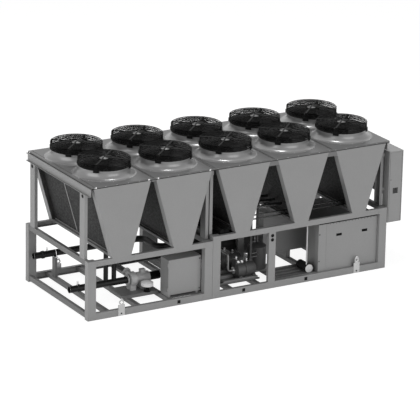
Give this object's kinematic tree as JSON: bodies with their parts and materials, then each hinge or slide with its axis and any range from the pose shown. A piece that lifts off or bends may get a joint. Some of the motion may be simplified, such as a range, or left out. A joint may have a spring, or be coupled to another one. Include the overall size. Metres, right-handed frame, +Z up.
{
  "type": "air cooled water chiller",
  "caption": "Air cooled water chiller on an open base frame: V-shaped condenser coils under a deck of axial fans, with pump, compressors and cabinets below.",
  "frame": {"origin": "floor level, under the middle of the unit's overall box", "axes": "+X along the unit towards the electrical cabinet, -Y the front with the control box, +Z up"},
  "size_m": [6.087, 2.274, 2.5523],
  "materials": {
    "frame": "satin powder coat",
    "panel": "satin powder coat",
    "coil": "fine dark finned face",
    "cowl": "semi-gloss",
    "fan": "black satin",
    "pipe": "black lacquer",
    "machine": "dark machine enamel",
    "tube": "satin lacquer",
    "motor": "satin enamel",
    "pale": "satin enamel",
    "steel": "bright zinc"
  },
  "bodies": {
    "root": {"base_posts": "frame", "base_bottom_rails": "frame", "base_top_rails": "frame", "bay_posts": "frame", "end_rails": "frame", "floor_beams": "frame", "upper_posts": "frame", "deck_beams": "frame", "seam_spacers": "frame", "deck_plates": "cowl", "side_cabinet": "panel", "v_front_panels": "panel", "v_back_panels": "panel", "condenser_coils": "coil", "v_trays": "panel", "fan_cowls": "cowl", "fan_guards": "fan", "fan_motors": "fan", "control_box": "panel", "control_box_feet": "frame", "control_box_hinges": "steel", "electrical_cabinet": "panel", "cabinet_brackets": "frame", "water_pipes": "pipe", "pipe_stands": "frame", "pump_bed": "frame", "pump": "machine", "pump_motor": "motor", "evaporator": "machine", "evaporator_saddles": "frame", "compressors": "machine", "equipment_box": "panel", "lifting_lugs": "steel", "panel_ties": "frame", "coil_trims": "frame", "machine_rails": "frame", "pump_pipes": "pipe", "pump_motor_cover": "fan", "pump_vessel": "pale", "receiver": "machine", "refrigerant_pipes": "tube", "inner_cabinet": "panel", "floor_tray": "frame", "equipment_panels": "panel", "equipment_cover": "panel", "filter_shell": "machine"},
    "fan_rotor_01": {"fan_rotor_01": "fan"},
    "fan_rotor_02": {"fan_rotor_02": "fan"},
    "fan_rotor_03": {"fan_rotor_03": "fan"},
    "fan_rotor_04": {"fan_rotor_04": "fan"},
    "fan_rotor_05": {"fan_rotor_05": "fan"},
    "fan_rotor_06": {"fan_rotor_06": "fan"},
    "fan_rotor_07": {"fan_rotor_07": "fan"},
    "fan_rotor_08": {"fan_rotor_08": "fan"},
    "fan_rotor_09": {"fan_rotor_09": "fan"},
    "fan_rotor_10": {"fan_rotor_10": "fan"},
    "control_door": {"control_box_door": "panel"}
  },
  "joints": [
    {"name": "fan_rotor_01_spin", "type": "hinge", "parent": "root", "child": "fan_rotor_01", "pos_m": [-2.4235, -0.485, 2.37], "axis": [0, 0, 1], "continuous": true},
    {"name": "fan_rotor_02_spin", "type": "hinge", "parent": "root", "child": "fan_rotor_02", "pos_m": [-2.4235, 0.485, 2.37], "axis": [0, 0, 1], "continuous": true},
    {"name": "fan_rotor_03_spin", "type": "hinge", "parent": "root", "child": "fan_rotor_03", "pos_m": [-1.2735, -0.485, 2.37], "axis": [0, 0, 1], "continuous": true},
    {"name": "fan_rotor_04_spin", "type": "hinge", "parent": "root", "child": "fan_rotor_04", "pos_m": [-1.2735, 0.485, 2.37], "axis": [0, 0, 1], "continuous": true},
    {"name": "fan_rotor_05_spin", "type": "hinge", "parent": "root", "child": "fan_rotor_05", "pos_m": [-0.1235, -0.485, 2.37], "axis": [0, 0, 1], "continuous": true},
    {"name": "fan_rotor_06_spin", "type": "hinge", "parent": "root", "child": "fan_rotor_06", "pos_m": [-0.1235, 0.485, 2.37], "axis": [0, 0, 1], "continuous": true},
    {"name": "fan_rotor_07_spin", "type": "hinge", "parent": "root", "child": "fan_rotor_07", "pos_m": [1.0265, -0.485, 2.37], "axis": [0, 0, 1], "continuous": true},
    {"name": "fan_rotor_08_spin", "type": "hinge", "parent": "root", "child": "fan_rotor_08", "pos_m": [1.0265, 0.485, 2.37], "axis": [0, 0, 1], "continuous": true},
    {"name": "fan_rotor_09_spin", "type": "hinge", "parent": "root", "child": "fan_rotor_09", "pos_m": [2.1765, -0.485, 2.37], "axis": [0, 0, 1], "continuous": true},
    {"name": "fan_rotor_10_spin", "type": "hinge", "parent": "root", "child": "fan_rotor_10", "pos_m": [2.1765, 0.485, 2.37], "axis": [0, 0, 1], "continuous": true},
    {"name": "control_door_hinge", "type": "hinge", "parent": "root", "child": "control_door", "pos_m": [-1.4865, -1.005, 0.46], "axis": [0, 0, -1], "range_deg": [0, 110]}
  ]
}
